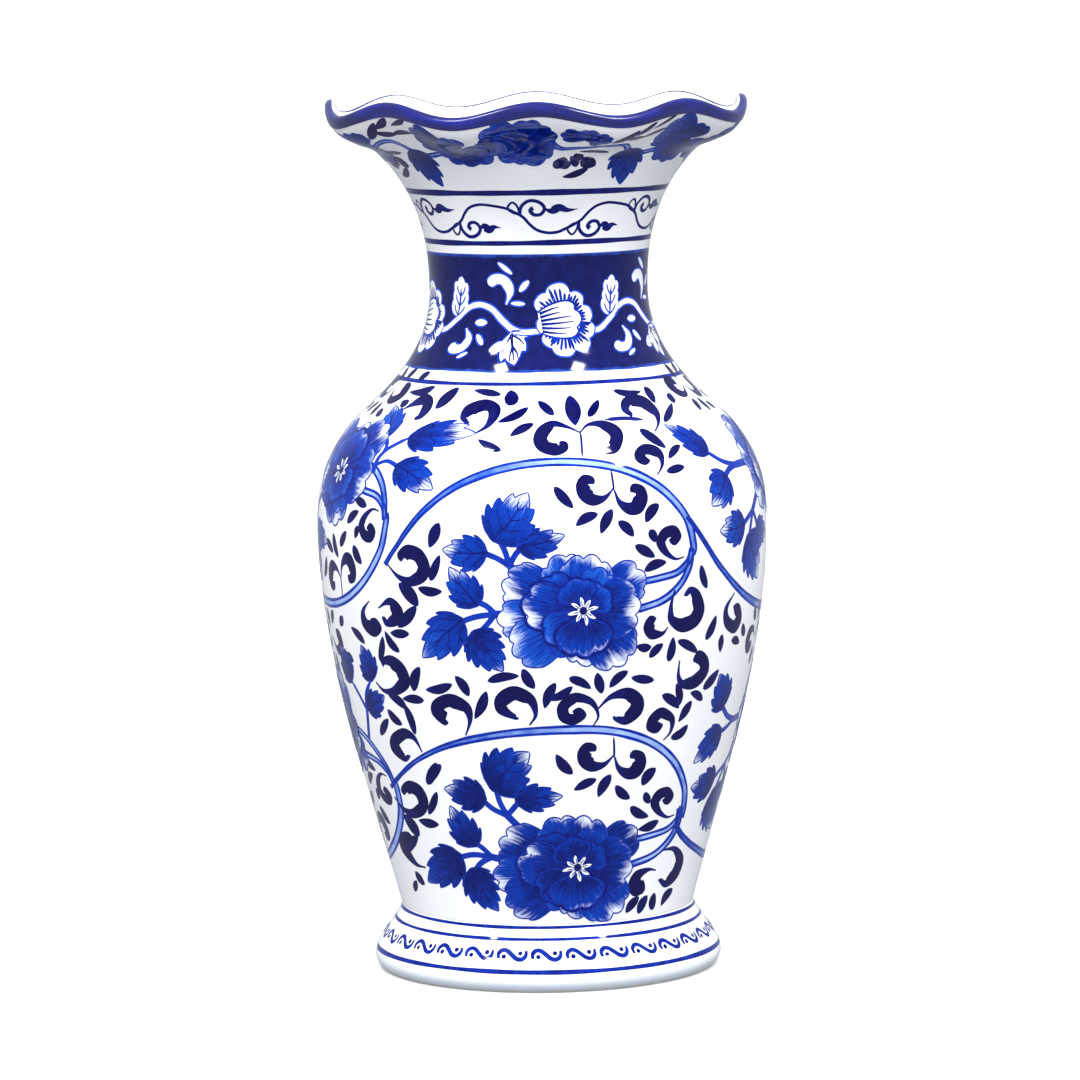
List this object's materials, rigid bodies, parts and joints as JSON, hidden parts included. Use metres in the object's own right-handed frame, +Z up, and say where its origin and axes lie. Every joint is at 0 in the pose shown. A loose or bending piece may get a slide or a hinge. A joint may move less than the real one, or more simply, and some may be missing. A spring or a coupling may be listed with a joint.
{
  "type": "flared vase with ruffled rim",
  "caption": "Tall round vase with a flared foot, full shoulder, waisted neck and an upturned ruffled mouth, glazed white and painted in cobalt blue.",
  "frame": {"origin": "centre of the circle that the foot stands on, in the plane of the table", "axes": "+Z up along the vase's axis; the side that is seen first faces -Y"},
  "size_m": [0.1578, 0.1578, 0.305],
  "materials": {
    "white_glaze": "clear gloss glaze over white clay",
    "cobalt_glaze": "gloss, painted cobalt blue under the glaze"
  },
  "bodies": {
    "root": {"foot_ring": "white_glaze", "base_floor": "white_glaze", "lower_body": "white_glaze", "shoulder": "white_glaze", "neck": "white_glaze", "mouth_flare": "white_glaze", "ruffled_rim": "white_glaze", "rolled_lip": "cobalt_glaze"}
  },
  "joints": []
}
